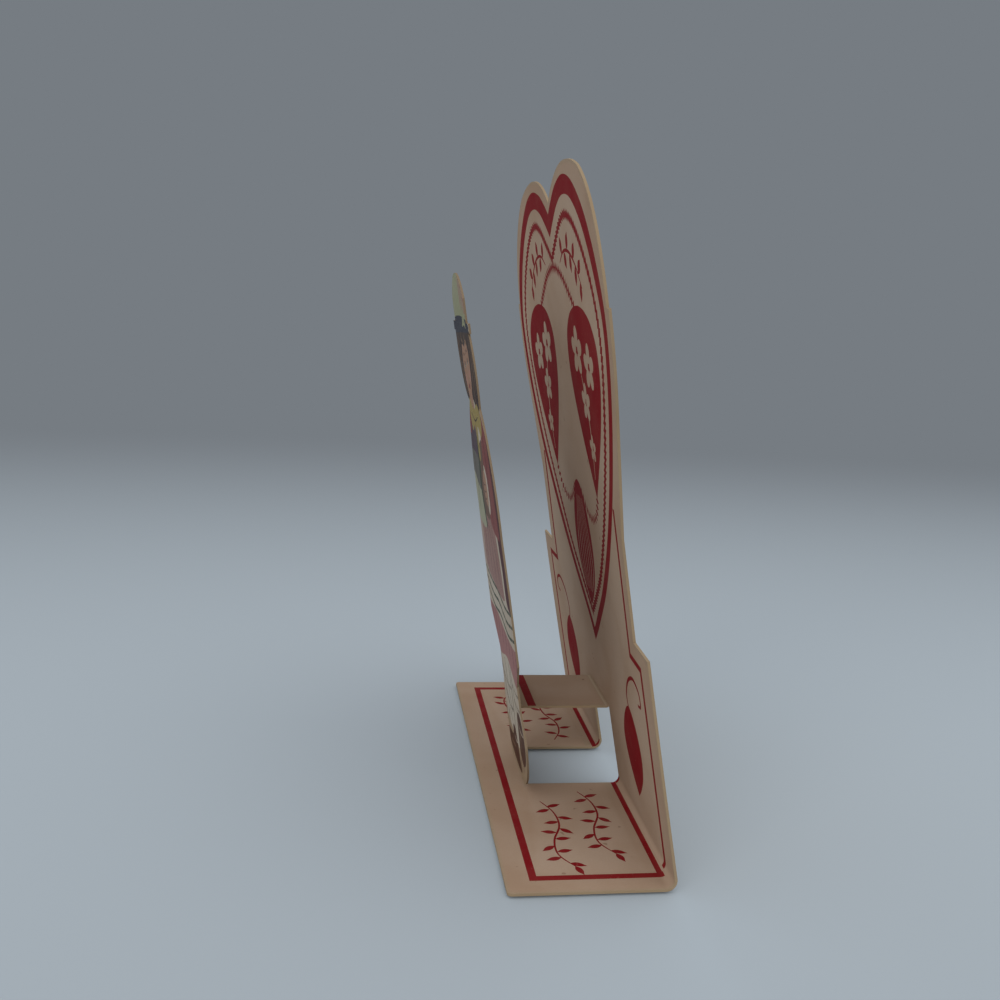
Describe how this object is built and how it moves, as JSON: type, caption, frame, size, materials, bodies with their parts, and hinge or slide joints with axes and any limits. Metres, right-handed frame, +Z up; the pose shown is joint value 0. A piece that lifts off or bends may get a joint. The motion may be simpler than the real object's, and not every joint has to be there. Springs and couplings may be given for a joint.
{
  "type": "greeting card",
  "caption": "Folded stand-up greeting card with a heart-topped back panel, a strut popped from its window and a die-cut figure glued to the riser in front.",
  "frame": {"origin": "middle of the footprint of the whole card, on the surface that it stands on", "axes": "X across the card, -Y towards its front, Z up"},
  "size_m": [0.1, 0.0406, 0.129],
  "materials": {
    "printed_card": "matt, red ink on cream card",
    "figure_print": "matt, printed in several colours"
  },
  "bodies": {
    "root": {"folded_card": "printed_card", "cutout_figure": "figure_print"}
  },
  "joints": []
}
